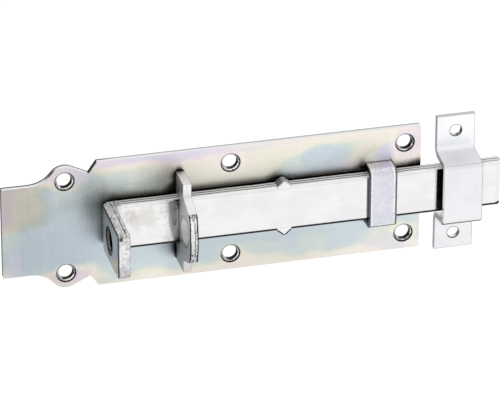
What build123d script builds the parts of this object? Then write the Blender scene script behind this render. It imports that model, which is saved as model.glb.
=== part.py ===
"""Padbolt: a flat locking bolt on a stamped plate, with a hasp plate, a guide and a keep.

Millimetres. X runs along the bolt towards the keep, -Y points out of the door, Z is up.
The origin is on the back of the base plate, at half its length, on the bolt's centre line.
"""
from build123d import *
import math
import os

os.makedirs("parts", exist_ok=True)

# Base plate
plate_length = 200.0
plate_height = 64.0
plate_thickness = 3.0
tab_length = 45.0
tab_height = 45.8
neck_depth = 5.5
neck_run = 3.9
corner_radius = 0.6

# Ears of the plate, one round each tab screw
ear_radius = 7.4
ear_blend_radius = 14.0
ear_from_left_end = 29.7

# Screw holes of the plate
screw_radius = 3.3
screw_head_radius = 4.7
screw_row_spacing = 47.6
right_screw_from_end = 7.8
middle_screw_from_end = 91.8

# Flat bar of the bolt
bar_width = 23.0
bar_thickness = 6.0
bar_edge_radius = 1.0
bend_outer_radius = 5.0
bend_inner_radius = 1.0
handle_from_left_end = 46.4
handle_reach = 36.0
handle_corner_radius = 3.2
handle_eye_radius = 7.0
tip_past_keep = 11.4
tip_bevel_run = 2.6
tip_bevel_depth = 1.6

# Stop noses on both long edges of the bar
nose_from_hasp = 43.1
nose_width = 6.8
nose_peak = 3.0
nose_root = 1.5
nose_tip_radius = 1.6

# Running clearances of the bolt
bar_back_clearance = 0.2
hasp_side_clearance = 0.5
hasp_front_clearance = 0.4
guide_side_clearance = 1.4
guide_front_clearance = 0.3

# Hasp plate, seen along the bolt
hasp_thickness = 4.0
hasp_from_left_end = 82.0
hasp_height = 45.4
hasp_shoulder = 14.2
hasp_step_height = 33.2
hasp_step_radius = 0.5
hasp_nose_reach = 28.0
hasp_nose_height = 24.0
hasp_nose_bow = 1.8
hasp_nose_corner_radius = 2.8
padlock_axis_reach = 17.6
hasp_eye_radius = 7.2

# Tenons that hold the hasp and the guide in the plate
tenon_clearance = 0.1
hasp_tenon_height = 6.5
hasp_tenon_inset = 2.0
guide_tenon_width = 8.0

# Guide over the bolt
guide_width = 13.0
guide_strip = 2.6
guide_bend_radius = 1.2
guide_from_right_end = 13.9

# Keep on the door frame
keep_gap = 7.8
keep_width = 18.6
keep_strip = 2.5
keep_height = 69.6
keep_outer_height = 31.2
keep_foot_height = 34.6
keep_reach = 16.8
keep_bend_radius = 0.4
keep_foot_bend_radius = 2.6
keep_screw_spacing = 54.0
keep_screw_radius = 2.9

# Places worked out from the sizes above
plate_left = -plate_length / 2
plate_right = plate_length / 2
plate_front = -plate_thickness
tab_right = plate_left + tab_length
ear_x = plate_left + ear_from_left_end
screw_z = screw_row_spacing / 2
bar_back = plate_front - bar_back_clearance
bar_front = bar_back - bar_thickness
hasp_left = plate_left + hasp_from_left_end
hasp_right = hasp_left + hasp_thickness
handle_left = plate_left + handle_from_left_end
handle_right = handle_left + bar_thickness
padlock_y = plate_front - padlock_axis_reach
guide_right = plate_right - guide_from_right_end
guide_left = guide_right - guide_width
guide_half = bar_width / 2 + guide_side_clearance + guide_strip
guide_front = bar_front - guide_front_clearance - guide_strip
keep_left = plate_right + keep_gap
keep_right = keep_left + keep_width
tip_x = keep_right + tip_past_keep
nose_x = hasp_right + nose_from_hasp + nose_width / 2


def tangent_point(centre, radius, point, side):
    """Where the line from point touches the circle, on the side given as 1 or -1."""
    across = point[0] - centre[0]
    up = point[1] - centre[1]
    turn = math.acos(radius / math.hypot(across, up))
    angle = math.atan2(up, across) + side * turn
    return (centre[0] + radius * math.cos(angle), centre[1] + radius * math.sin(angle))


# Base plate: a rectangle with a narrower tab, whose ears flow into it
ear_centre = (ear_x, screw_z)
neck_point = (tab_right - neck_run, plate_height / 2 - neck_depth)
ear_flank = tangent_point(ear_centre, ear_radius, neck_point, 1)

with BuildPart() as base_plate:
    with BuildSketch(Plane.XZ) as outline:
        with BuildLine():
            Polyline(
                (plate_left, 0),
                (plate_left, tab_height / 2),
                (ear_x, tab_height / 2),
                ear_centre,
                ear_flank,
                neck_point,
                (tab_right, plate_height / 2),
                (plate_right, plate_height / 2),
                (plate_right, 0),
                close=True,
            )
        make_face()
        with Locations(ear_centre):
            Circle(ear_radius)
        meeting = outline.vertices().filter_by(
            lambda v: plate_left + 1 < v.X < ear_x - ear_radius / 2 and v.Y > screw_z / 2
        )
        fillet(meeting, ear_blend_radius)
        fillet(outline.vertices().group_by(Axis.X)[0].sort_by(Axis.Y)[-1], corner_radius)
        fillet(outline.vertices().group_by(Axis.X)[-1].sort_by(Axis.Y)[-1], corner_radius)
        mirror(about=Plane.XZ)
    extrude(amount=plate_thickness)
    screw_places = [
        (x, side * screw_z)
        for x in (ear_x, plate_right - middle_screw_from_end, plate_right - right_screw_from_end)
        for side in (1, -1)
    ]
    with Locations(Plane.XZ.offset(plate_thickness)):
        with Locations(*screw_places):
            CounterSinkHole(screw_radius, screw_head_radius)
    hasp_tenon_z = hasp_height / 2 - hasp_tenon_inset - hasp_tenon_height / 2
    with BuildSketch(Plane.XZ) as hasp_slots:
        with Locations(*[(hasp_left + hasp_thickness / 2, side * hasp_tenon_z) for side in (1, -1)]):
            Rectangle(
                hasp_thickness + 2 * tenon_clearance,
                hasp_tenon_height + 2 * tenon_clearance,
            )
    extrude(amount=plate_thickness, mode=Mode.SUBTRACT)
    guide_tenon_z = guide_half - guide_strip / 2
    with BuildSketch(Plane.XZ) as guide_slots:
        with Locations(*[(guide_left + guide_width / 2, side * guide_tenon_z) for side in (1, -1)]):
            Rectangle(
                guide_tenon_width + 2 * tenon_clearance,
                guide_strip + 2 * tenon_clearance,
            )
    extrude(amount=plate_thickness, mode=Mode.SUBTRACT)

base_plate.part.label = "base_plate"

# Hasp: a flat plate on edge, with a window for the bar and a round nose for the padlock
window_half = bar_width / 2 + hasp_side_clearance
window_front = bar_front - hasp_front_clearance
shoulder_y = plate_front - hasp_shoulder
nose_front_y = plate_front - hasp_nose_reach
nose_corner_y = nose_front_y + hasp_nose_bow

with BuildPart() as hasp:
    with BuildSketch(Plane.YZ.offset(hasp_left)) as hasp_outline:
        with BuildLine():
            nose_front = ThreePointArc(
                (nose_corner_y, hasp_nose_height / 2),
                (nose_front_y, 0),
                (nose_corner_y, -hasp_nose_height / 2),
            )
            Polyline(
                nose_front @ 0,
                (shoulder_y, hasp_step_height / 2),
                (shoulder_y, hasp_height / 2),
                (plate_front, hasp_height / 2),
                (plate_front, -hasp_height / 2),
                (shoulder_y, -hasp_height / 2),
                (shoulder_y, -hasp_step_height / 2),
                nose_front @ 1,
            )
        make_face()
        nose_corners = hasp_outline.vertices().group_by(Axis.X)[0]
        fillet(nose_corners, hasp_nose_corner_radius)
        steps = hasp_outline.vertices().filter_by(
            lambda v: abs(v.X - shoulder_y) < 0.01 and abs(abs(v.Y) - hasp_step_height / 2) < 0.01
        )
        fillet(steps, hasp_step_radius)
        with Locations((padlock_y, 0)):
            Circle(hasp_eye_radius, mode=Mode.SUBTRACT)
        with Locations((plate_front, 0)):
            Rectangle(2 * (plate_front - window_front), 2 * window_half, mode=Mode.SUBTRACT)
    extrude(amount=hasp_thickness)
    with BuildSketch(Plane.XZ) as hasp_tenons:
        with Locations(*[(hasp_left + hasp_thickness / 2, side * hasp_tenon_z) for side in (1, -1)]):
            Rectangle(hasp_thickness, hasp_tenon_height)
    extrude(amount=plate_thickness)

hasp.part.label = "hasp"

# Guide: a bent strip over the bar, its two ends narrowed to tenons
with BuildPart() as bolt_guide:
    with BuildSketch(Plane.YZ.offset(guide_left)) as guide_section:
        with BuildLine():
            FilletPolyline(
                (plate_front, guide_tenon_z),
                (guide_front + guide_strip / 2, guide_tenon_z),
                (guide_front + guide_strip / 2, -guide_tenon_z),
                (plate_front, -guide_tenon_z),
                radius=guide_bend_radius + guide_strip / 2,
            )
        trace(line_width=guide_strip)
    extrude(amount=guide_width)
    with BuildSketch(Plane.XZ) as guide_tenons:
        with Locations(*[(guide_left + guide_width / 2, side * guide_tenon_z) for side in (1, -1)]):
            Rectangle(guide_tenon_width, guide_strip)
    extrude(amount=plate_thickness)

bolt_guide.part.label = "bolt_guide"

# Bolt: flat bar, bent outwards at its left end into a handle with the second padlock eye
handle_tip_y = plate_front - handle_reach

with BuildPart() as bolt:
    with BuildSketch(Plane.XY) as bar_profile:
        with BuildLine():
            Polyline(
                (handle_left, bar_back),
                (tip_x, bar_back),
                (tip_x, bar_front + tip_bevel_depth),
                (tip_x - tip_bevel_run, bar_front),
                (handle_right, bar_front),
                (handle_right, handle_tip_y),
                (handle_left, handle_tip_y),
                close=True,
            )
        make_face()
        outer_corner = bar_profile.vertices().group_by(Axis.X)[0].sort_by(Axis.Y)[-1]
        fillet(outer_corner, bend_outer_radius)
        inner_corner = bar_profile.vertices().filter_by(
            lambda v: abs(v.X - handle_right) < 0.01 and abs(v.Y - bar_front) < 0.01
        )
        fillet(inner_corner, bend_inner_radius)
    extrude(amount=bar_width / 2, both=True)
    handle_corners = bolt.edges().filter_by(Axis.X).group_by(Axis.Y)[0]
    fillet(handle_corners, handle_corner_radius)
    rolled_edges = bolt.edges().filter_by(Axis.X).filter_by(
        lambda e: e.length > plate_length / 2
    )
    fillet(rolled_edges, bar_edge_radius)
    with BuildSketch(Plane.XZ.offset(-bar_back)) as noses:
        with BuildLine():
            Polyline(
                (nose_x - nose_width / 2, bar_width / 2 - nose_root),
                (nose_x - nose_width / 2, bar_width / 2),
                (nose_x, bar_width / 2 + nose_peak),
                (nose_x + nose_width / 2, bar_width / 2),
                (nose_x + nose_width / 2, bar_width / 2 - nose_root),
                close=True,
            )
        make_face()
        fillet(noses.vertices().sort_by(Axis.Y)[-1], nose_tip_radius)
        mirror(about=Plane.XZ)
    extrude(amount=bar_thickness)
    with Locations(Plane.YZ.offset(handle_left)):
        with Locations((padlock_y, 0)):
            Hole(handle_eye_radius, depth=2 * bar_thickness)

bolt.part.label = "bolt"

# Keep: a strip with two screw feet and a bridge over the bolt's end
bridge_y = -keep_reach + keep_strip / 2
foot_y = -keep_strip / 2
bridge_bend = keep_bend_radius + keep_strip / 2
foot_bend = keep_foot_bend_radius + keep_strip / 2

with BuildPart() as keep:
    with BuildSketch(Plane.YZ.offset(keep_left)) as keep_section:
        with BuildLine():
            bridge = FilletPolyline(
                (foot_y, keep_foot_height / 2 - keep_strip / 2 + 2 * keep_foot_bend_radius),
                (foot_y, keep_foot_height / 2 - keep_strip / 2),
                (bridge_y, keep_outer_height / 2 - keep_strip / 2),
                (bridge_y, -keep_outer_height / 2 + keep_strip / 2),
                (foot_y, -keep_foot_height / 2 + keep_strip / 2),
                (foot_y, -keep_foot_height / 2 + keep_strip / 2 - 2 * keep_foot_bend_radius),
                radius=[foot_bend, bridge_bend, bridge_bend, foot_bend],
            )
            Line(bridge @ 0, (foot_y, keep_height / 2))
            Line(bridge @ 1, (foot_y, -keep_height / 2))
        trace(line_width=keep_strip)
    extrude(amount=keep_width)
    with Locations(Plane.XZ.offset(keep_strip)):
        with Locations(*[(keep_left + keep_width / 2, side * keep_screw_spacing / 2) for side in (1, -1)]):
            Hole(keep_screw_radius, depth=2 * keep_strip)

keep.part.label = "keep"

export_step(base_plate.part, "parts/base_plate.step")
export_step(hasp.part, "parts/hasp.step")
export_step(bolt_guide.part, "parts/bolt_guide.step")
export_step(bolt.part, "parts/bolt.step")
export_step(keep.part, "parts/keep.step")
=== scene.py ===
"""Looks of the padbolt: zinc-plated steel on a white studio ground.

Metres, in the frame of the CAD part: X along the bolt, -Y out of the door, Z up.
"""
import math

import bpy
from mathutils import Matrix, Vector


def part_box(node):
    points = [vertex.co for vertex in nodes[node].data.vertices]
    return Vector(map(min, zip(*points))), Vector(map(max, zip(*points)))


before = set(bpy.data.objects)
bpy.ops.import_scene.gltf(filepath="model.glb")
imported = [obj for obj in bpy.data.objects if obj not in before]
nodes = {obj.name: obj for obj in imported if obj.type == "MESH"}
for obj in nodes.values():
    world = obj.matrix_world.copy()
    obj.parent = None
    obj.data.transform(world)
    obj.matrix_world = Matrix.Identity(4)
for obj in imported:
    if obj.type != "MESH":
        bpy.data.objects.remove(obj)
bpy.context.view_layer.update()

MM = 0.001

# Corners of the pieces, read from the frame
plate_low, plate_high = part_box("base_plate")
bar_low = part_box("bolt")[0]
hasp_low, hasp_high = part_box("hasp")
guide_low, guide_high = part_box("bolt_guide")
keep_low, keep_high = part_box("keep")
handle_left = bar_low[0]
handle_end = bar_low[1]
hasp_left = hasp_low[0]
hasp_right = hasp_high[0]
hasp_middle = (hasp_left + hasp_right) / 2
plate_front = plate_low[1]
plate_end = plate_high[0]

# Tab at the left end of the base plate, and the screw holes of the plate
tab_right = -55.0 * MM
tab_half_height = 25.0 * MM
hole_columns = (-70.3 * MM, 8.2 * MM, 92.2 * MM)
hole_row = 23.8 * MM
hole_radius = 3.3 * MM
hole_rim = 4.7 * MM

# Screw holes and bridge of the keep
keep_hole_column = (keep_low[0] + keep_high[0]) / 2
keep_hole_row = 27.0 * MM
keep_hole_radius = 2.9 * MM
keep_foot_front = -2.5 * MM
bridge_half = 15.6 * MM

# Bar, its stop noses, and the padlock eyes
bar_front = -9.2 * MM
bar_half = 11.5 * MM
nose_centre = 32.5 * MM
nose_half = 3.4 * MM
nose_peak = 3.0 * MM
eye_axis = -20.6 * MM
handle_eye = 7.0 * MM
hasp_eye = 7.2 * MM

# How far a normal has to lean along an axis, or against it, for a face to count
along_axis = (0.5, 0.9)
against_axis = (-0.5, -0.9)

# Noises: size of the blotches, detail, roughness, stretch along X, Y and Z, and distortion
film_streaks = (9 * MM, 5.0, 0.65, (0.5, 1.0, 1.3))
film_wander = (30 * MM, 2.0, 0.5)
film_sway = (16 * MM, 3.0, 0.55, (0.6, 1.0, 1.2))
plate_grain = (0.7 * MM, 2.0, 0.6)
plate_brushing = (0.9 * MM, 2.0, 0.6, (1.0, 1.0, 0.08))
plate_scratches = (1.6 * MM, 2.0, 0.7, (0.08, 1.0, 1.6))
plate_specks = (0.8 * MM, 3.0, 0.8)
hole_glints = (2.6 * MM, 3.0, 0.7)
bar_edge_wave = (12 * MM, 2.0, 0.5, (1.0, 0.0, 0.0))
bar_mottle = (9 * MM, 4.0, 0.6, (0.6, 1.0, 1.0), 0.5)
bar_speckle = (2.6 * MM, 8.0, 0.82, (1, 1, 1), 0.8)
bar_stains = (8 * MM, 4.0, 0.6)
bar_blotches = (3.2 * MM, 4.0, 0.6)
hasp_reflection_flecks = (1.0 * MM, 4.0, 0.7)
handle_dulling = (3.5 * MM, 4.0, 0.7, (1.0, 1.0, 0.6))
handle_pits = (1.1 * MM, 5.0, 0.8, (1.0, 0.6, 0.6))
hasp_mottle = (5 * MM, 4.0, 0.6)
hasp_grit = (1.3 * MM, 8.0, 0.85, (1.0, 1.0, 0.5), 0.5)
hasp_wobble = (1.6 * MM, 4.0, 0.75, (0.0, 0.0, 1.0))
guide_grain = (0.9 * MM, 5.0, 0.8)
guide_clouds = (6 * MM, 2.0, 0.5)
keep_clouds = (12 * MM, 3.0, 0.5)
keep_grain = (0.6 * MM, 2.0, 0.6)
keep_glints = (2.2 * MM, 3.0, 0.7)

# Colours of the plate's film, from its thinnest to its thickest
film_colours = (
    (0.00, (0.56, 0.63, 0.70)),
    (0.20, (0.59, 0.67, 0.71)),
    (0.36, (0.65, 0.71, 0.68)),
    (0.50, (0.78, 0.77, 0.66)),
    (0.66, (0.85, 0.80, 0.72)),
    (0.82, (0.83, 0.73, 0.74)),
    (1.00, (0.74, 0.69, 0.79)),
)
lilac_film = (0.67, 0.66, 0.78)

# Levels of the film, and where it changes: over Z, towards the tab, the edges, ends and holes
film_levels = (0.19, 0.55)
film_less_on_tab = 0.32
film_along_edges = (0.50, 0.14)
film_at_ends = (0.34, 0.20)
film_at_holes = 0.16
film_streaking = 0.45
film_rise = (-16 * MM, 14 * MM)
tab_neck = (tab_right - 8 * MM, tab_right + 2 * MM)
tab_fade = (tab_right + 18 * MM, tab_right - 8 * MM)
right_half = (-25 * MM, 25 * MM)
upper_half = (0.0, 10 * MM)
edge_band = (8 * MM, -1 * MM)
end_sides = (-10 * MM, 10 * MM)
end_band = (plate_end - 12 * MM, plate_end)
hole_band = (9 * MM, 5 * MM)
wander_reach = 40 * MM
sway_reach = 12 * MM

# Patches of the film: centre, half size, and how far they shift its colour
film_patches = (
    ((56 * MM, 21 * MM), (15 * MM, 8 * MM), -0.40),
    ((38 * MM, 17 * MM), (9 * MM, 6 * MM), -0.20),
    ((-88 * MM, 12 * MM), (17 * MM, 13 * MM), 0.30),
    ((-36 * MM, 20 * MM), (14 * MM, 7 * MM), -0.16),
    ((-66 * MM, -25 * MM), (17 * MM, 7 * MM), 0.42),
    ((80 * MM, -21 * MM), (10 * MM, 8 * MM), 0.26),
    ((22 * MM, -25 * MM), (14 * MM, 6 * MM), 0.16),
    ((47 * MM, -24 * MM), (10 * MM, 7 * MM), 0.14),
)

# Patches of lilac over the film: centre, half size and share
lilac_patches = (
    ((84 * MM, 20 * MM), (7 * MM, 6 * MM), 0.9),
    ((66 * MM, 13 * MM), (7 * MM, 4 * MM), 0.6),
    ((42 * MM, 12 * MM), (11 * MM, 4 * MM), 0.5),
    ((-61 * MM, 26 * MM), (8 * MM, 6 * MM), 0.6),
    ((-97 * MM, -17 * MM), (5 * MM, 8 * MM), 0.6),
    ((-10 * MM, 31 * MM), (50 * MM, 2.0 * MM), 0.4),
    ((84 * MM, -28 * MM), (12 * MM, 5 * MM), 0.5),
)

# Tones are factors on a colour. A pair goes from the start of a span to its end.
# Where the plate's tone changes, and by how much; the left, the lower half and the sides behind the
# front edge are painted shade
left_shade_tone = 0.79
beige_tone = 0.78
lower_shade_tone = 0.88
plate_grain_tones = (1.01, 0.96)
brushed_tones = (1.01, 0.965)
front_edge_tone = 0.95
back_edge_shade_tones = (0.12, 0.50)
left_end_shade_tone = 0.15
left_fade = (-98 * MM, -32 * MM)
lower_half = (-10 * MM, -18 * MM)
lower_left = (-32 * MM, -12 * MM)
lower_right = (80 * MM, 30 * MM)
brushed_side = (-48 * MM, -62 * MM)
beige_patch = ((-90 * MM, 14 * MM), (22 * MM, 14 * MM))
back_edge_fade = (-56 * MM, -46 * MM)
front_edge = (plate_front + 1.6 * MM, plate_front + 2.1 * MM)

# Screw holes of the plate, in painted highlight, shade and reflection: limits of the cone
# and the wall, their tones, and two rings, each as half width and softness
cone_highlight_tone = 1.1
wall_shade = 0.75
glint_tone = 0.25
inner_ring_tone = 0.05
outer_ring_tone = 0.02
cone_limit = (hole_rim + 0.1 * MM, hole_rim - 0.1 * MM)
wall_limit = (hole_radius + 0.15 * MM, hole_radius + 0.05 * MM)
outer_ring_place = hole_rim - 0.2 * MM
outer_ring = (0.20 * MM, 0.18 * MM)
inner_ring_place = hole_radius + 0.2 * MM
inner_ring = (0.16 * MM, 0.16 * MM)
towards_lower_right = (-0.7, 0.0, 0.7)

# Painted dark reflections and shadows on the plate: reach, lean towards the pieces they show, and
# grain
near_reflection = (6.5 * MM, (0.6, 0.0, -1.0), 0.16)
wide_reflection = (21 * MM, (0.85, 0.0, -1.4), 0.16)
far_reflection = (36 * MM, (1.2, 0.0, -1.2), 0.20)
contact_reach = 1.2 * MM
near_tones = (0.50, 0.01)
wide_tone = 0.08
wide_by_handle = (0.50, 0.80)
wide_by_hasp = (0.62, 0.42)
far_tone = 0.45
clear_share = 0.9
contact_tone = 0.06
beside_handle = (handle_left + 1.6 * MM, handle_left + 6.6 * MM)
right_of_handle = (handle_left + 5.6 * MM, handle_left + 17.6 * MM)
left_of_handle = (handle_left + 5.6 * MM, handle_left - 0.4 * MM)
beside_hasp = (hasp_left - 5 * MM, hasp_right)
upper_corner = (6 * MM, 14 * MM)
before_end = (plate_end - 22 * MM, plate_end - 12 * MM)
clear_patch = ((guide_high[0] - 1 * MM, guide_high[2] + 3 * MM), (15 * MM, 6 * MM))

# Colours of the other surfaces, the paler one first where a piece has two
white = (1.0, 1.0, 1.0)
bare_zinc = (0.86, 0.85, 0.86)
bar_colours = ((0.84, 0.82, 0.83), (0.77, 0.77, 0.78))
# Painted highlight: the paler colour of the bolt's top faces
bar_top_highlight_colour = (0.95, 0.94, 0.94)
stain_colour = (0.62, 0.61, 0.56)
blotch_colour = (0.57, 0.53, 0.49)
# Painted reflection of the plate, in shade, on the bolt's left faces
left_face_reflection_colour = (0.53, 0.55, 0.50)
hasp_colours = ((0.84, 0.83, 0.83), (0.76, 0.76, 0.76))
guide_colours = ((0.71, 0.69, 0.75), (0.65, 0.66, 0.72))
keep_colours = ((0.81, 0.815, 0.83), (0.77, 0.78, 0.80))

# Roughness of each metal; the bar's run mirrors the hasp and the keep
plate_roughness = 0.38
run_roughness = (0.08, 0.14)
top_roughness = 0.85
sheared_roughness = 0.38
hasp_roughness = 0.42
guide_roughness = 0.40
keep_roughness = (0.38, 0.46)

# Bump of each metal: depth and strength
plate_bump = (0.02 * MM, 0.5)
bar_bump = (0.04 * MM, 0.5)
hasp_bump = (0.10 * MM, 0.5)
guide_bump = (0.05 * MM, 0.6)
keep_bump = (0.015 * MM, 0.5)

# Fine lines on the long edges of the bar: place along Y, half width, tone; the first, next to the
# plate, is painted contact shade
bar_edge_lines = (
    (-3.7 * MM, 0.35 * MM, 0.05),
    (-5.7 * MM, 0.28 * MM, 0.25),
    (-7.6 * MM, 0.25 * MM, 0.30),
)

edge_wave_reach = 1.2 * MM
edge_line_softness = 0.2 * MM

# Run of the bar: its start, the lines on its front, and the lines of painted shade below it and round
# the stop noses
run_start = (handle_left + 7 * MM, handle_left + 9 * MM)
front_line_place = bar_half - 1.4 * MM
front_line = (0.05 * MM, 0.3 * MM)
bottom_line = (-bar_half + 1.55 * MM, -bar_half + 1.25 * MM)
nose_limit = (nose_half - 0.2 * MM, nose_half + 0.2 * MM)
nose_outline = (1.0 * MM, 0.7 * MM)
lower_nose = (0.0, -1 * MM)
stain_patch = ((-38 * MM, 4 * MM), (10 * MM, 11 * MM))
blotch_patch = ((-41 * MM, 5 * MM), (4 * MM, 4 * MM))
stain_share = 0.6
blotch_share = 0.55
front_line_tone = 0.80
low_edge_shade_tone = 0.03
upper_nose_share = 0.35

# Handle: its start, the lines, marks and burrs on it and its painted shade, a burr as half width and
# softness
handle_start = (bar_front - 0.5 * MM, bar_front - 2 * MM)
end_face_fade = (2 * MM, -11 * MM)
top_outline = (bar_half - 0.9 * MM, bar_half - 0.5 * MM)
front_outline = (handle_end + 1.5 * MM, handle_end + 1.0 * MM)
left_burr = (0.45 * MM, 0.25 * MM)
second_burr_place = 4.1 * MM
second_burr = (0.15 * MM, 0.25 * MM)
right_burr_place = 5.8 * MM
right_burr = (0.15 * MM, 0.20 * MM)
corner_shade_patch = ((handle_left + 1.5 * MM, bar_half - 1.9 * MM), (0.9 * MM, 0.8 * MM))
corner_shade_depth = (handle_end + 3 * MM, handle_end + 2 * MM)
foot_fade = (-bar_half + 3.5 * MM, -bar_half + 2.2 * MM)
handle_edge_radius = 0.45 * MM
handle_eye_wall = (handle_eye + 0.15 * MM, handle_eye)
handle_eye_depth = (handle_left + 1.2 * MM, handle_left + 1.8 * MM)
handle_speckle_tone = 0.50
dull_tone = 0.78
dull_on_top = 0.6
handle_top_shade_tone = 0.88
end_face_shade_tone = 0.88
left_outline_shade_tone = 0.06
left_burr_tone = 0.04
other_burrs_tone = 0.30
pit_tone = 0.30
corner_shade_tone = 0.12
foot_shade_tone = 0.75
handle_edge_shade_tone = 0.30
handle_eye_shade_tones = (0.50, 0.0)
handle_side_shade_tone = 0.57

# Painted dark reflections on the bar's front: lean towards the right, reaches, and where they begin
bar_lean = (1.3, 0.0, 0.0)
corner_reach = 10 * MM
soft_reach = 12 * MM
by_keep = (60 * MM, 66 * MM)
reflection_flecks_start = (hasp_left - 14 * MM, hasp_left - 5 * MM)
reflection_flecks_end = (hasp_left + 3 * MM, hasp_left + 1 * MM)
corner_tone = 0.01
soft_tone = 0.62
reflection_fleck_tone = 0.50

# Hasp: start of its nose, and the grit and lines on it, with its painted light and shade
nose_start = (hasp_low[1] + 3.6 * MM, hasp_low[1] + 2.6 * MM)
grit_sides = (0.9 * MM, 1.9 * MM)
grit_corners = (9 * MM, 12 * MM)
ragged_place = hasp_middle + 0.5 * MM
ragged_reach = 3.5 * MM
ragged_line = (0.14 * MM, 0.22 * MM)
ragged_ends = (10 * MM, 8 * MM)
hasp_outline = (1.35 * MM, 1.65 * MM)
hasp_light = (-14 * MM, 10 * MM)
hasp_edge_radius = 0.4 * MM
hasp_corner_reach = 2.5 * MM
hasp_eye_wall = (hasp_eye + 0.2 * MM, hasp_eye)
hasp_eye_ring = (0.2 * MM, 0.3 * MM)
hasp_eye_light = (5 * MM, -6 * MM)
left_face_fade = (4 * MM, 14 * MM)
grit_tone = 0.12
ragged_tone = 0.20
hasp_outline_shade_tone = 0.14
sheared_tone = 0.62
hasp_light_tones = (0.78, 1.08)
hasp_edge_shade_tone = 0.28
hasp_corner_shade_tone = 0.10
hasp_ring_tone = 0.35
hasp_eye_shade_tone = 0.70
left_face_shade_tones = (0.58, 0.72)

# Guide: its corners, the painted highlight along its edges and the dark line of painted shade along
# its outline
guide_corner_reach = 3.0 * MM
past_top = 20 * MM
outline_inset_right = 0.4 * MM
outline_inset_bottom = 1.3 * MM
below_middle = (0.0, -5 * MM)
edge_highlight_place = 0.9 * MM
edge_highlight_line = (0.1 * MM, 0.4 * MM)
guide_outline = (0.55 * MM, 0.30 * MM)
off_plate = (plate_front + 2.5 * MM, plate_front + 1.5 * MM)
guide_grain_tones = (1.04, 0.80)
guide_top_highlight_tones = (1.25, 0.90)
guide_corner_shade_tone = 0.06
open_on_top = 0.9
guide_side_shade_tone = 0.16
edge_highlight_brightness = (0.32, 0.05)
guide_outline_shares = (1.0, 0.75)
guide_outline_shade_tone = 0.10

# Keep: rim and wall of its screw holes, and the lines on its bridge, sides and ends, in painted light
# and shade
keep_rim = (0.1 * MM, 0.45 * MM)
keep_hole_wall = (keep_hole_radius + 0.1 * MM, keep_hole_radius)
glint_depth = (keep_foot_front + 0.5 * MM, keep_foot_front + 0.8 * MM)
inside_depth = (-3.5 * MM, -5.0 * MM)
bridge_face = (keep_low[1] + 2.6 * MM, keep_low[1] + 2.0 * MM)
bridge_bottom = (-bridge_half + 1.5 * MM, -bridge_half + 1.2 * MM)
bridge_top_place = bridge_half - 0.4 * MM
bridge_top = (0.1 * MM, 0.3 * MM)
keep_left_line = (keep_low[0] + 0.35 * MM, keep_low[0] + 0.15 * MM)
keep_right_line = (keep_high[0] - 0.35 * MM, keep_high[0] - 0.15 * MM)
keep_ends = (keep_high[2] - 0.35 * MM, keep_high[2] - 0.1 * MM)
upper_foot = (bridge_half, bridge_half + 4 * MM)
keep_rim_shade_tone = 0.12
inside_shade_tone = 0.02
keep_grain_tones = (1.03, 0.95)
bridge_bottom_shade_tone = 0.08
keep_left_shade_tones = (0.55, 1.0)
keep_right_shade_tone = 0.42
bridge_top_shade_tone = 0.82
keep_end_shade_tone = 0.6
upper_foot_highlight_tone = 1.16

# Camera, fitted to the edges of the photograph
camera_azimuth = -14.64
camera_elevation = 27.55
camera_roll = 0.19
camera_distance = 1.9
aim_right = 17.71 * MM
aim_up = 3.45 * MM
focal_pixels = 4086.0
photo_width = 500
sensor_width = 36.0

# Studio
world_light = 0.7
world_seen = 1.0
floor_drop = 0.45
floor_size = 14.0
floor_white = 0.9
floor_glow = 0.45
card_place = (-0.45, 0.9, -0.15)
card_size = (0.8, 1.0)
card_grey = 0.03
key_place = (0.7, -1.0, -0.25)
key_size = (0.5, 0.5)
key_power = 0.3


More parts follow.
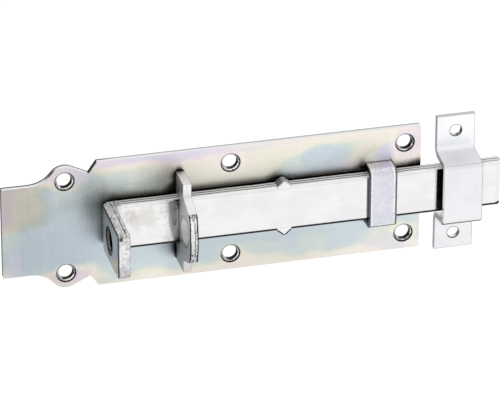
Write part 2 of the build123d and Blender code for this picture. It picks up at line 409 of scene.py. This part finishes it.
class Tree:
    """A material's node tree, with one short call for each kind of node."""

    def __init__(self, name):
        self.material = bpy.data.materials.new(name)
        self.material.use_nodes = True
        self.tree = self.material.node_tree
        self.tree.nodes.clear()
        self.output = self.tree.nodes.new("ShaderNodeOutputMaterial")
        coordinates = self.tree.nodes.new("ShaderNodeTexCoord")
        self.place = coordinates.outputs["Object"]
        self.normal = coordinates.outputs["Normal"]

    def link(self, value, socket):
        """Puts a number, a colour or another node's output on a socket."""
        if isinstance(value, bpy.types.NodeSocket):
            self.tree.links.new(value, socket)
        else:
            socket.default_value = value

    def math(self, operation, a, b=0.0):
        node = self.tree.nodes.new("ShaderNodeMath")
        node.operation = operation
        self.link(a, node.inputs[0])
        self.link(b, node.inputs[1])
        return node.outputs[0]

    def plus(self, a, b):
        return self.math("ADD", a, b)

    def minus(self, a, b):
        return self.math("SUBTRACT", a, b)

    def times(self, first, *others):
        """The product of two or more values."""
        product = first
        for value in others:
            product = self.math("MULTIPLY", product, value)
        return product

    def either(self, a, b):
        """The larger of two values."""
        return self.math("MAXIMUM", a, b)

    def without(self, share):
        """1 less a share."""
        return self.minus(1.0, share)

    def size(self, value):
        """A value without its sign."""
        return self.math("ABSOLUTE", value)

    def squares(self, a, b):
        return self.plus(self.times(a, a), self.times(b, b))

    def axes(self, vector=None):
        """X, Y and Z of a vector, or of the place on the part."""
        node = self.tree.nodes.new("ShaderNodeSeparateXYZ")
        self.link(vector or self.place, node.inputs[0])
        return node.outputs[0], node.outputs[1], node.outputs[2]

    def stretched(self, scale):
        """The place on the part, scaled by one factor for each axis."""
        node = self.tree.nodes.new("ShaderNodeMapping")
        self.link(self.place, node.inputs["Vector"])
        node.inputs["Scale"].default_value = scale
        return node.outputs[0]

    def noise(self, size, detail=3.0, roughness=0.5, stretch=(1, 1, 1), distortion=0.0):
        """Noise whose blotches are about size metres across, from 0 to 1."""
        node = self.tree.nodes.new("ShaderNodeTexNoise")
        self.link(self.stretched(stretch), node.inputs["Vector"])
        node.inputs["Scale"].default_value = 1.0 / size
        node.inputs["Detail"].default_value = detail
        node.inputs["Roughness"].default_value = roughness
        node.inputs["Distortion"].default_value = distortion
        return node.outputs[0]

    def ramp(self, value, stops):
        """Colours along a value: stops are (place, (red, green, blue))."""
        node = self.tree.nodes.new("ShaderNodeValToRGB")
        node.color_ramp.interpolation = "LINEAR"
        elements = node.color_ramp.elements
        while len(elements) < len(stops):
            elements.new(0.5)
        for element, (place, colour) in zip(elements, stops):
            element.position = place
            element.color = (*colour, 1.0)
        self.link(value, node.inputs[0])
        return node.outputs[0]

    def span(self, value, low, high, start=0.0, end=1.0):
        """value from low to high becomes start to end, with soft ends."""
        node = self.tree.nodes.new("ShaderNodeMapRange")
        node.interpolation_type = "SMOOTHSTEP"
        self.link(value, node.inputs["Value"])
        node.inputs["From Min"].default_value = low
        node.inputs["From Max"].default_value = high
        self.link(start, node.inputs["To Min"])
        self.link(end, node.inputs["To Max"])
        return node.outputs[0]

    def toned(self, tone, mask, level):
        """The tone where mask is 0, and level times the tone where it is 1."""
        return self.times(tone, self.span(mask, 0.0, 1.0, 1.0, level))

    def colour(self, value):
        """A colour with its alpha, or a node's output as it is."""
        return value if isinstance(value, bpy.types.NodeSocket) else (*value, 1.0)

    def mix(self, share, a, b, blend="MIX"):
        node = self.tree.nodes.new("ShaderNodeMix")
        node.data_type = "RGBA"
        node.blend_type = blend
        self.link(share, node.inputs[0])
        self.link(self.colour(a), node.inputs[6])
        self.link(self.colour(b), node.inputs[7])
        return node.outputs[2]

    def bump(self, height, distance, strength):
        node = self.tree.nodes.new("ShaderNodeBump")
        node.inputs["Strength"].default_value = strength
        node.inputs["Distance"].default_value = distance
        self.link(height, node.inputs["Height"])
        return node.outputs[0]

    def grey(self, value):
        """A number as a grey colour."""
        node = self.tree.nodes.new("ShaderNodeCombineXYZ")
        for socket in node.inputs:
            self.link(value, socket)
        return node.outputs[0]

    def vectors(self, operation, a, b=(0, 0, 0), out=0):
        node = self.tree.nodes.new("ShaderNodeVectorMath")
        node.operation = operation
        self.link(a, node.inputs[0])
        self.link(b, node.inputs[1])
        return node.outputs[out]

    def openness(self, reach, lean=None, samples=8):
        """1 in the open, less in corners within reach. With lean, only pieces on that side count."""
        node = self.tree.nodes.new("ShaderNodeAmbientOcclusion")
        node.samples = samples
        node.inputs["Distance"].default_value = reach
        if lean is not None:
            geometry = self.tree.nodes.new("ShaderNodeNewGeometry")
            leaning = self.vectors("ADD", geometry.outputs["True Normal"], lean)
            self.link(self.vectors("NORMALIZE", leaning), node.inputs["Normal"])
        return node.outputs["AO"]

    def edges(self, radius, samples=6):
        """1 along the edges of the part, 0 on its faces."""
        node = self.tree.nodes.new("ShaderNodeBevel")
        node.samples = samples
        node.inputs["Radius"].default_value = radius
        geometry = self.tree.nodes.new("ShaderNodeNewGeometry")
        match = self.vectors("DOT_PRODUCT", node.outputs[0], geometry.outputs["True Normal"], "Value")
        return self.span(match, 0.995, 0.93)

    def patch(self, x, z, centre, half_size):
        """1 inside a soft ellipse on the part's front, 0 outside."""
        across = self.math("DIVIDE", self.minus(x, centre[0]), half_size[0])
        up = self.math("DIVIDE", self.minus(z, centre[1]), half_size[1])
        return self.span(self.squares(across, up), 0.3, 1.5, 1.0, 0.0)

    def from_point(self, a, b, centre):
        """Distance in a plane from the axis through centre."""
        return self.math("SQRT", self.squares(self.minus(a, centre[0]), self.minus(b, centre[1])))

    def line(self, distance, width, soft, level=0.0):
        """level on a line of the given half width around distance 0, and 1 away from it."""
        return self.span(self.size(distance), width, width + soft, level, 1.0)

    def stroke(self, distance, width, soft):
        """1 on such a line, and 0 away from it."""
        return self.without(self.line(distance, width, soft))

    def metal(self, colour, roughness, normal):
        """Ends the tree in a metal surface and returns the material."""
        shader = self.tree.nodes.new("ShaderNodeBsdfPrincipled")
        shader.inputs["Metallic"].default_value = 1.0
        self.link(colour, shader.inputs["Base Color"])
        self.link(roughness, shader.inputs["Roughness"])
        self.link(normal, shader.inputs["Normal"])
        self.tree.links.new(shader.outputs[0], self.output.inputs["Surface"])
        return self.material


def near_holes(t):
    """Distance from the axis of the nearest screw hole of the base plate."""
    x, _, z = t.axes()
    nearest = 1.0
    for column in hole_columns:
        nearest = t.math("MINIMUM", t.from_point(x, t.size(z), (column, hole_row)), nearest)
    return nearest


def plate_film(t, x, z):
    """How far the film's colour has run, from 0, blue-grey, to 1, lilac."""
    half_height = t.span(x, *tab_neck, tab_half_height, plate_high[2])
    inside = t.minus(half_height, t.size(z))
    on_tab = t.span(x, *tab_fade)
    film = t.span(z, *film_rise, *film_levels)
    film = t.minus(film, t.times(on_tab, film_less_on_tab))
    for centre, half_size, shift in film_patches:
        film = t.plus(film, t.times(t.patch(x, z, centre, half_size), shift))

    # More of it along the long edges, at the two ends and round the screw holes
    upper_right = t.times(t.span(x, *right_half), t.span(z, *upper_half))
    along_edges = t.span(upper_right, 0.0, 1.0, *film_along_edges)
    film = t.plus(film, t.span(inside, *edge_band, 0.0, along_edges))
    at_ends = t.span(x, *end_sides, *film_at_ends)
    film = t.plus(film, t.span(t.size(x), *end_band, 0.0, at_ends))
    film = t.plus(film, t.span(near_holes(t), *hole_band, 0.0, film_at_holes))
    streaks = t.minus(t.noise(*film_streaks), 0.5)
    return t.plus(film, t.times(streaks, film_streaking))


def plate_tone(t, x, z, beige, grain):
    """Tone over the whole face: painted shade, darker at the left and in the lower half, with fine
    grain.
    """
    tone = t.span(t.plus(x, t.times(z, 0.4)), *left_fade, left_shade_tone, 1.0)
    tone = t.toned(tone, beige, beige_tone)
    lower = t.times(t.span(z, *lower_half), t.span(x, *lower_left))
    lower = t.times(lower, t.span(x, *lower_right, 0.2, 1.0))
    tone = t.toned(tone, lower, lower_shade_tone)
    tone = t.times(tone, t.span(grain, 0.35, 0.75, *plate_grain_tones))
    brushed = t.span(t.noise(*plate_brushing), 0.35, 0.70)
    brushed = t.times(brushed, t.span(x, *brushed_side, 0.15, 1.0))
    return t.times(tone, t.span(brushed, 0.0, 1.0, *brushed_tones))


def plate_shade(t, x, z):
    """Painted dark reflections and shadows of the pieces to the right of and below each place, 1 away
    from them.
    """
    speck = t.minus(t.noise(*plate_specks), 0.5)
    near, wide, far = (
        t.plus(t.openness(reach, lean, 16), t.times(speck, grain))
        for reach, lean, grain in (near_reflection, wide_reflection, far_reflection)
    )
    near = t.span(near, 0.34, 0.68, t.span(x, *beside_handle, *near_tones), 1.0)

    # The wide one is fainter away from the handle, and ends before the plate's right end
    by_handle = t.span(z, *upper_half, *wide_by_handle)
    by_hasp = t.span(x, *beside_hasp, *wide_by_hasp)
    share = t.span(x, *right_of_handle, by_handle, by_hasp)
    share = t.times(share, t.span(x, *before_end, 1.0, 0.0))
    wide = t.mix(share, white, t.span(wide, 0.26, 0.72, wide_tone, 1.0))

    # The far one lies only above and to the left of the handle
    beyond = t.times(t.span(x, *left_of_handle), t.span(z, *upper_corner))
    wide = t.toned(wide, beyond, t.span(far, 0.26, 0.62, far_tone, 1.0))

    # Less painted shade on the plate right of the guide's top, and a painted contact shadow wherever
    # a piece meets the plate
    clear = t.patch(x, z, *clear_patch)
    shade = t.either(t.times(near, wide), t.times(clear, clear_share))
    return t.times(shade, t.span(t.openness(contact_reach), 0.45, 0.85, contact_tone, 1.0))


def hole_tone(t, hole):
    """Inside of a screw hole, in painted highlight, shade and reflection: a bright cone and a wall,
    darkest at the lower right.
    """
    facing = t.vectors("DOT_PRODUCT", t.normal, towards_lower_right, "Value")
    far_side = t.span(facing, 0.05, 0.40)
    wall = t.span(hole, *wall_limit)
    tone = t.minus(cone_highlight_tone, t.times(wall, far_side, wall_shade))
    glints = t.times(t.span(t.noise(*hole_glints), 0.50, 0.56), far_side)
    tone = t.toned(tone, glints, glint_tone)
    ring = t.stroke(t.minus(hole, inner_ring_place), *inner_ring)
    return t.toned(tone, t.times(ring, far_side), inner_ring_tone)


def plate_zinc():
    """Passivated zinc: blue-grey in the middle, with yellow, pink and lilac towards the edges."""
    t = Tree("plate_zinc")
    x, y, z = t.axes()
    normal_x, normal_y, _ = t.axes(t.normal)
    wander = t.minus(t.noise(*film_wander), 0.5)
    sway = t.minus(t.noise(*film_sway), 0.5)
    x_moved = t.plus(x, t.times(wander, wander_reach))
    z_moved = t.plus(z, t.times(sway, sway_reach))
    colour = t.ramp(plate_film(t, x_moved, z_moved), film_colours)
    for centre, half_size, share in lilac_patches:
        lilac = t.times(t.patch(x_moved, z_moved, centre, half_size), share)
        colour = t.mix(lilac, colour, lilac_film)
    beige = t.patch(x_moved, z_moved, *beige_patch)
    grain = t.noise(*plate_grain)
    # The front's tone holds painted shade: darker to the left and low down, with dark reflections and
    # shadows beside the pieces
    front = t.times(plate_tone(t, x, z, beige, grain), plate_shade(t, x, z))

    # Sides of the plate: bright at the front edge, painted shade behind it
    on_side = t.span(t.size(normal_y), 0.5, 0.2)
    back_edge = t.span(x, *back_edge_fade, *back_edge_shade_tones)
    side = t.span(y, *front_edge, front_edge_tone, back_edge)
    side = t.times(side, t.span(normal_x, -0.9, -0.5, left_end_shade_tone, 1.0))

    # Screw holes, each in a fine dark ring of painted shade
    hole = near_holes(t)
    in_hole = t.span(hole, *cone_limit)
    ring = t.line(t.minus(hole, outer_ring_place), *outer_ring, outer_ring_tone)
    tone = t.mix(on_side, t.grey(front), t.grey(side))
    tone = t.mix(in_hole, tone, t.grey(hole_tone(t, hole)))
    tone = t.mix(1.0, tone, t.grey(ring), "MULTIPLY")
    colour = t.mix(t.either(on_side, in_hole), colour, bare_zinc)
    colour = t.mix(1.0, colour, tone, "MULTIPLY")
    height = t.plus(t.times(grain, 0.4), t.noise(*plate_scratches))
    return t.metal(colour, plate_roughness, t.bump(height, *plate_bump))


def bar_lines(t, y):
    """Fine dark lines along the rolled edges of the bar, 1 between them; the one next to the plate is
    painted contact shade.
    """
    wave = t.times(t.minus(t.noise(*bar_edge_wave), 0.5), edge_wave_reach)
    tone = 1.0
    for place, width, level in bar_edge_lines:
        from_line = t.minus(t.plus(y, wave), place)
        tone = t.times(tone, t.line(from_line, width, edge_line_softness, level))
    return tone


def run_tone(t, tone, on_run):
    """Lines of the run's long edges: rolled above, and painted shade along the sharp lower edge, on
    faces turned down and round the stop noses.
    """
    x, y, z = t.axes()
    normal_z = t.axes(t.normal)[2]
    on_edge = t.times(t.span(t.size(normal_z), *along_axis), on_run)
    tone = t.times(tone, t.span(on_edge, 0.0, 1.0, 1.0, bar_lines(t, y)))
    on_line = t.stroke(t.minus(t.size(z), front_line_place), *front_line)
    tone = t.toned(tone, on_line, front_line_tone)
    from_nose = t.size(t.minus(x, nose_centre))
    past_nose = t.span(from_nose, *nose_limit)
    low_edge = t.times(t.span(z, *bottom_line), past_nose)
    low_edge = t.either(low_edge, t.span(normal_z, -0.1, -0.4))
    slope = t.times(from_nose, nose_peak / nose_half)
    to_outline = t.minus(t.minus(bar_half + nose_peak, slope), t.size(z))
    outline = t.times(t.span(to_outline, *nose_outline), t.without(past_nose))
    outline = t.times(outline, t.span(z, *lower_nose, upper_nose_share, 1.0))
    return t.toned(tone, t.times(t.either(low_edge, outline), on_run), low_edge_shade_tone)


def handle_tone(t, tone, rough, on_handle, left_face, speckle):
    """Rough sheared metal of the handle, with painted shade on its top, end face, corner, foot and
    edges, the painted dark outline of its left face, and its padlock hole in painted shade.
    """
    x, y, z = t.axes()
    normal_x, normal_y, normal_z = t.axes(t.normal)
    on_top = t.span(normal_z, 0.35, 0.65)
    tone = t.toned(tone, t.times(t.span(speckle, 0.50, 0.66), rough), handle_speckle_tone)
    dull = t.times(t.span(t.noise(*handle_dulling), 0.42, 0.60), rough)
    tone = t.toned(tone, t.toned(dull, on_top, dull_on_top), dull_tone)
    # Painted shade: a darker top face, and an end face that darkens towards the bottom
    tone = t.toned(tone, t.times(on_top, rough), handle_top_shade_tone)
    end_face = t.times(t.span(normal_y, *against_axis), on_handle)
    tone = t.toned(tone, t.times(end_face, t.span(z, *end_face_fade)), end_face_shade_tone)
    # Painted shade: a dark outline along the top and front of the left face
    outline = t.either(t.span(z, *top_outline), t.span(y, *front_outline))
    tone = t.toned(tone, t.times(outline, left_face), left_outline_shade_tone)

    # Burrs along the left and right edges
    from_left = t.minus(x, handle_left)
    left_line = t.times(t.stroke(from_left, *left_burr), rough)
    left_line = t.times(left_line, t.span(speckle, 0.34, 0.46, 0.5, 1.0))
    tone = t.toned(tone, left_line, left_burr_tone)
    second_line = t.times(t.stroke(t.minus(from_left, second_burr_place), *second_burr), on_top)
    second_line = t.times(second_line, t.span(speckle, 0.38, 0.54))
    right_line = t.stroke(t.minus(from_left, right_burr_place), *right_burr)
    right_line = t.times(right_line, t.span(speckle, 0.36, 0.50, 0.3, 1.0))
    right_line = t.times(right_line, t.span(normal_x, along_axis[1], along_axis[0]))
    others = t.times(t.either(second_line, right_line), rough)
    tone = t.toned(tone, others, other_burrs_tone)

    # Pits between them, painted shade at the rounded corner and towards the foot, and dark edge lines
    # of painted shade
    pits = t.plus(t.noise(*handle_pits), t.times(on_top, 0.05))
    tone = t.toned(tone, t.times(t.span(pits, 0.58, 0.64), rough), pit_tone)
    corner_shade = t.times(t.patch(x, z, *corner_shade_patch), rough, t.span(y, *corner_shade_depth))
    tone = t.toned(tone, corner_shade, corner_shade_tone)
    tone = t.toned(tone, t.times(t.span(z, *foot_fade), rough), foot_shade_tone)
    edge_shade = t.times(t.edges(handle_edge_radius), rough, t.span(speckle, 0.42, 0.56))
    tone = t.toned(tone, edge_shade, handle_edge_shade_tone)

    # Wall of the padlock hole in painted shade, black a little way in
    from_eye = t.from_point(y, z, (eye_axis, 0.0))
    in_eye = t.times(t.span(from_eye, *handle_eye_wall), on_handle)
    deep = t.span(x, *handle_eye_depth, *handle_eye_shade_tones)
    tone = t.toned(tone, in_eye, deep)
    # The left face in painted shade
    return t.toned(tone, left_face, handle_side_shade_tone)


def bar_reflections(t, tone, on_front, speckle):
    """Painted dark reflections on the bar's front beside the hasp, the guide and the keep."""
    x, _, _ = t.axes()
    grains = t.times(t.minus(speckle, 0.5), t.span(x, *by_keep, 0.30, 0.0))
    corner = t.plus(t.openness(corner_reach, bar_lean, 48), grains)
    corner = t.plus(corner, t.span(x, *by_keep, 0.0, 0.4))
    tone = t.toned(tone, t.times(t.span(corner, 0.33, 0.28), on_front), corner_tone)
    soft = t.plus(t.openness(soft_reach, bar_lean, 12), grains)
    short_of_keep = t.times(t.span(x, by_keep[1], by_keep[0]), on_front)
    tone = t.toned(tone, t.times(t.span(soft, 0.66, 0.36), short_of_keep), soft_tone)
    # Painted reflection of the hasp, in dark flecks to its left
    by_hasp = t.times(t.span(x, *reflection_flecks_start), t.span(x, *reflection_flecks_end))
    reflected_flecks = t.times(t.span(t.noise(*hasp_reflection_flecks), 0.57, 0.63), by_hasp, on_front)
    return t.toned(tone, reflected_flecks, reflection_fleck_tone)


def bar_zinc():
    """Bright zinc on rolled bar: faint mottling, a few stains and fine lines along the edges, with
    painted light and shade on it.
    """
    t = Tree("bar_zinc")
    x, y, z = t.axes()
    normal_x, normal_y, normal_z = t.axes(t.normal)
    on_run = t.span(x, *run_start)
    on_handle = t.span(y, *handle_start)
    on_top = t.span(normal_z, 0.35, 0.65)
    on_front = t.span(normal_y, *against_axis)
    left_face = t.span(normal_x, *against_axis)
    rough = t.times(t.either(on_handle, t.without(on_run)), t.without(left_face))
    mottle = t.noise(*bar_mottle)
    speckle = t.noise(*bar_speckle)

    # Colour, with a grey stain and a brown blotch between the handle and the hasp
    colour = t.mix(t.span(mottle, 0.35, 0.7), *bar_colours)
    stain = t.times(t.span(t.noise(*bar_stains), 0.44, 0.60), t.patch(x, z, *stain_patch))
    colour = t.mix(t.times(stain, stain_share), colour, stain_colour)
    blotch = t.times(t.span(t.noise(*bar_blotches), 0.48, 0.53), t.patch(x, z, *blotch_patch))
    colour = t.mix(t.times(blotch, blotch_share), colour, blotch_colour)
    # Painted highlight on the top faces
    colour = t.mix(on_top, colour, bar_top_highlight_colour)
    # Painted reflection of the plate, in shade, on the left faces
    colour = t.mix(left_face, colour, left_face_reflection_colour)

    # Tone: the run's lines and the handle's marks, with painted shade and reflections
    tone = run_tone(t, 1.0, on_run)
    tone = handle_tone(t, tone, rough, on_handle, left_face, speckle)
    tone = bar_reflections(t, tone, on_front, speckle)
    colour = t.mix(1.0, colour, t.grey(tone), "MULTIPLY")
    height = t.plus(t.times(speckle, rough, 3.0), t.times(mottle, 0.3))
    roughness = t.either(t.span(mottle, 0.3, 0.7, *run_roughness), t.times(on_top, top_roughness))
    roughness = t.either(roughness, t.times(rough, sheared_roughness))
    return t.metal(colour, roughness, t.bump(height, *bar_bump))


def nose_grit(t, tone, on_nose, at_side, grit):
    """Grit on the hasp's nose, thickest along its two edges, with a ragged line and a painted dark
    outline of shade.
    """
    x, _, z = t.axes()
    at_corners = t.span(t.size(z), *grit_corners, 0.0, 0.6)
    along = t.either(t.span(at_side, *grit_sides), at_corners)
    level = t.plus(grit, t.times(along, 0.14))
    tone = t.toned(tone, t.times(t.span(level, 0.54, 0.60), on_nose), grit_tone)
    wobble = t.minus(t.noise(*hasp_wobble), 0.5)
    ragged = t.plus(t.minus(x, ragged_place), t.times(wobble, ragged_reach))
    ragged = t.times(t.stroke(ragged, *ragged_line), t.span(t.size(z), *ragged_ends), on_nose)
    tone = t.toned(tone, ragged, ragged_tone)
    outline = t.times(t.span(at_side, *hasp_outline), on_nose)
    return t.toned(tone, outline, hasp_outline_shade_tone)


def hasp_zinc():
    """Zinc on a punched plate, with rough sheared edges."""
    t = Tree("hasp_zinc")
    x, y, z = t.axes()
    normal_x = t.axes(t.normal)[0]
    sheared = t.span(t.size(normal_x), 0.7, 0.3)
    mottle = t.noise(*hasp_mottle)
    grit = t.noise(*hasp_grit)
    colour = t.mix(t.span(mottle, 0.3, 0.7), *hasp_colours)
    from_eye = t.from_point(y, z, (eye_axis, 0.0))
    in_eye = t.span(from_eye, *hasp_eye_wall)
    nose = t.span(y, *nose_start)
    at_side = t.size(t.minus(x, hasp_middle))
    tone = nose_grit(t, 1.0, t.times(sheared, nose, t.without(in_eye)), at_side, grit)

    # The other sheared edges, the painted fall of light from top to bottom, and painted shade along
    # the edges and in the corners
    elsewhere = t.times(sheared, t.without(nose), t.span(grit, 0.56, 0.66))
    tone = t.toned(tone, elsewhere, sheared_tone)
    tone = t.times(tone, t.span(z, *hasp_light, *hasp_light_tones))
    edge_shade = t.times(t.edges(hasp_edge_radius), t.span(grit, 0.38, 0.56, 0.3, 1.0))
    tone = t.toned(tone, edge_shade, hasp_edge_shade_tone)
    corners = t.span(t.openness(hasp_corner_reach), 0.4, 0.9, hasp_corner_shade_tone, 1.0)
    tone = t.times(tone, corners)

    # Wall of the padlock hole and the darker left face in painted shade, and the dark line round the
    # hole
    on_flat = t.span(t.size(normal_x), 0.5, 0.8)
    ring = t.stroke(t.minus(from_eye, hasp_eye), *hasp_eye_ring)
    tone = t.toned(tone, t.times(ring, on_flat), hasp_ring_tone)
    tone = t.toned(tone, t.times(in_eye, t.span(z, *hasp_eye_light)), hasp_eye_shade_tone)
    left_level = t.span(z, *left_face_fade, *left_face_shade_tones)
    tone = t.times(tone, t.span(normal_x, -0.9, -0.5, left_level, 1.0))
    colour = t.mix(1.0, colour, t.grey(tone), "MULTIPLY")
    height = t.times(grit, t.plus(t.times(sheared, 0.8), 0.2))
    return t.metal(colour, hasp_roughness, t.bump(height, *hasp_bump))


def guide_zinc():
    """Zinc with a lilac cast and a fine grain, on a bent strip."""
    t = Tree("guide_zinc")
    x, y, z = t.axes()
    normal_x, _, normal_z = t.axes(t.normal)
    grain = t.noise(*guide_grain)
    colour = t.mix(t.span(t.noise(*guide_clouds), 0.3, 0.7), *guide_colours)
    on_top = t.span(normal_z, 0.5, 0.95)
    tone = t.span(grain, 0.46, 0.70, *guide_grain_tones)
    # Painted highlight on the top face, and painted shade in the corners and on the sides
    tone = t.toned(tone, on_top, t.span(grain, 0.42, 0.60, *guide_top_highlight_tones))
    open_tone = t.span(t.openness(guide_corner_reach), 0.30, 0.80, guide_corner_shade_tone, 1.0)
    tone = t.times(tone, t.either(open_tone, t.times(on_top, open_on_top)))
    side = t.span(t.size(normal_x), *along_axis)
    tone = t.toned(tone, side, guide_side_shade_tone)

    # Distance from the front's outline, a little further in at the right and the bottom
    to_right = t.minus(guide_high[0] - outline_inset_right, x)
    to_left = t.minus(x, guide_low[0])
    to_end = t.plus(t.minus(guide_high[2], t.size(z)), t.times(on_top, past_top))
    to_end = t.minus(to_end, t.span(z, *below_middle, 0.0, outline_inset_bottom))
    to_edge = t.math("MINIMUM", t.math("MINIMUM", to_right, to_left), to_end)

    # Painted highlight along the edges, with a dark line of painted shade along the outline in front
    # of the plate
    bright = t.times(t.stroke(t.minus(to_edge, edge_highlight_place), *edge_highlight_line), t.without(side))
    tone = t.plus(tone, t.times(bright, t.span(grain, 0.40, 0.60, *edge_highlight_brightness)))
    dark = t.span(to_edge, *guide_outline)
    dark = t.times(dark, t.span(grain, 0.30, 0.55, *guide_outline_shares))
    dark = t.times(dark, t.span(y, *off_plate))
    tone = t.toned(tone, dark, guide_outline_shade_tone)
    colour = t.mix(1.0, colour, t.grey(tone), "MULTIPLY")
    return t.metal(colour, guide_roughness, t.bump(grain, *guide_bump))


def keep_zinc():
    """Plain pale zinc on a folded strip, smooth and slightly blue."""
    t = Tree("keep_zinc")
    x, y, z = t.axes()
    normal_y = t.axes(t.normal)[1]
    cloud = t.noise(*keep_clouds)
    grain = t.noise(*keep_grain)
    colour = t.mix(t.span(cloud, 0.3, 0.7), *keep_colours)

    # Screw holes: a dark rim of painted shade, and painted glints on the wall behind it
    hole = t.from_point(x, t.size(z), (keep_hole_column, keep_hole_row))
    from_rim = t.size(t.minus(hole, keep_hole_radius))
    tone = t.span(from_rim, *keep_rim, keep_rim_shade_tone, 1.0)
    in_hole = t.span(hole, *keep_hole_wall)
    glint = t.times(in_hole, t.span(y, *glint_depth), t.span(t.noise(*keep_glints), 0.44, 0.50))
    tone = t.either(tone, glint)

    # Painted shade: the bridge's inner side is black, and the bar mirrors it beside the keep
    inside = t.times(t.span(normal_y, 0.3, 0.7), t.span(y, *inside_depth))
    tone = t.toned(tone, inside, inside_shade_tone)
    tone = t.times(tone, t.span(grain, 0.3, 0.8, *keep_grain_tones))

    # Fine dark lines of painted shade at the bridge's lower edge and along the strip's sides and
    # ends, and a painted highlight on the upper foot
    on_bridge = t.span(y, *bridge_face)
    bottom = t.times(t.span(z, *bridge_bottom), on_bridge)
    tone = t.toned(tone, bottom, bridge_bottom_shade_tone)
    left_level = t.span(on_bridge, 0.0, 1.0, *keep_left_shade_tones)
    tone = t.toned(tone, t.span(x, *keep_left_line), left_level)
    tone = t.toned(tone, t.span(x, *keep_right_line), keep_right_shade_tone)
    top_line = t.line(t.minus(z, bridge_top_place), *bridge_top, bridge_top_shade_tone)
    tone = t.times(tone, top_line)
    tone = t.times(tone, t.span(t.size(z), *keep_ends, 1.0, keep_end_shade_tone))
    tone = t.times(tone, t.span(z, *upper_foot, 1.0, upper_foot_highlight_tone))
    colour = t.mix(1.0, colour, t.grey(tone), "MULTIPLY")
    roughness = t.span(cloud, 0.3, 0.7, *keep_roughness)
    return t.metal(colour, roughness, t.bump(grain, *keep_bump))


def dress(node, material):
    """Gives every material slot of a CAD node the same material."""
    for place in nodes[node].material_slots:
        place.material = material


def seen_directly(tree):
    """1 for camera, glossy and transmission rays, which see the white ground."""
    path = tree.nodes.new("ShaderNodeLightPath")
    share = path.outputs["Is Camera Ray"]
    for ray in ("Is Glossy Ray", "Is Transmission Ray"):
        either = tree.nodes.new("ShaderNodeMath")
        either.operation = "MAXIMUM"
        tree.links.new(share, either.inputs[0])
        tree.links.new(path.outputs[ray], either.inputs[1])
        share = either.outputs[0]
    return share


def build_world():
    """White for what sees the background, and a soft grey for the light it gives."""
    world = bpy.data.worlds.new("studio")
    bpy.context.scene.world = world
    world.use_nodes = True
    tree = world.node_tree
    background = tree.nodes["Background"]
    background.inputs["Color"].default_value = (*white, 1.0)
    level = tree.nodes.new("ShaderNodeMapRange")
    level.inputs["To Min"].default_value = world_light
    level.inputs["To Max"].default_value = world_seen
    tree.links.new(seen_directly(tree), level.inputs["Value"])
    tree.links.new(level.outputs[0], background.inputs["Strength"])


def build_floor():
    """A wide white floor below the part, which keeps its shadow."""
    bpy.ops.mesh.primitive_plane_add(size=floor_size, location=(0, 0, plate_low[2] - floor_drop))
    floor = bpy.context.object
    floor.name = "floor"
    t = Tree("floor_white")
    matt = t.tree.nodes.new("ShaderNodeBsdfDiffuse")
    matt.inputs["Color"].default_value = (floor_white, floor_white, floor_white, 1.0)
    glow = t.tree.nodes.new("ShaderNodeEmission")
    t.link(t.times(seen_directly(t.tree), floor_glow), glow.inputs["Strength"])
    both = t.tree.nodes.new("ShaderNodeAddShader")
    t.tree.links.new(matt.outputs[0], both.inputs[0])
    t.tree.links.new(glow.outputs[0], both.inputs[1])
    t.tree.links.new(both.outputs[0], t.output.inputs["Surface"])
    floor.data.materials.append(t.material)


def build_card(name, place, size, level):
    """A grey card that only the metal sees, as a photographer sets it for darker reflections."""
    bpy.ops.mesh.primitive_plane_add(size=1.0, location=place)
    card = bpy.context.object
    card.name = name
    card.scale = (size[0], size[1], 1.0)
    card.rotation_euler = (-Vector(place)).to_track_quat("Z", "Y").to_euler()
    t = Tree(name)
    glow = t.tree.nodes.new("ShaderNodeEmission")
    glow.inputs["Color"].default_value = (level, level, level, 1.0)
    t.tree.links.new(glow.outputs[0], t.output.inputs["Surface"])
    card.data.materials.append(t.material)
    card.visible_camera = False
    card.visible_diffuse = False
    card.visible_shadow = False


def build_lamp(name, place, size, power):
    """A soft lamp aimed at the part."""
    light = bpy.data.lights.new(name, "AREA")
    light.shape = "RECTANGLE"
    light.size = size[0]
    light.size_y = size[1]
    light.energy = power
    lamp = bpy.data.objects.new(name, light)
    lamp.location = place
    lamp.rotation_euler = Vector(place).to_track_quat("Z", "Y").to_euler()
    bpy.context.collection.objects.link(lamp)


def build_camera():
    """The photograph's viewpoint, far off with a long lens and no shift."""
    turn = Matrix.Rotation(math.radians(camera_azimuth), 4, "Z")
    tilt = Matrix.Rotation(math.radians(90.0 - camera_elevation), 4, "X")
    roll = Matrix.Rotation(math.radians(camera_roll), 4, "Z")
    offset = Matrix.Translation((aim_right, aim_up, camera_distance))
    data = bpy.data.cameras.new("camera")
    data.sensor_width = sensor_width
    data.lens = focal_pixels / photo_width * sensor_width
    camera = bpy.data.objects.new("camera", data)
    camera.matrix_world = turn @ tilt @ roll @ offset
    bpy.context.collection.objects.link(camera)
    bpy.context.scene.camera = camera


dress("base_plate", plate_zinc())
dress("bolt", bar_zinc())
dress("hasp", hasp_zinc())
dress("bolt_guide", guide_zinc())
dress("keep", keep_zinc())

build_world()
build_floor()
build_card("flag_behind", card_place, card_size, card_grey)
build_lamp("key", key_place, key_size, key_power)
build_camera()
bpy.context.scene.view_settings.view_transform = "Standard"
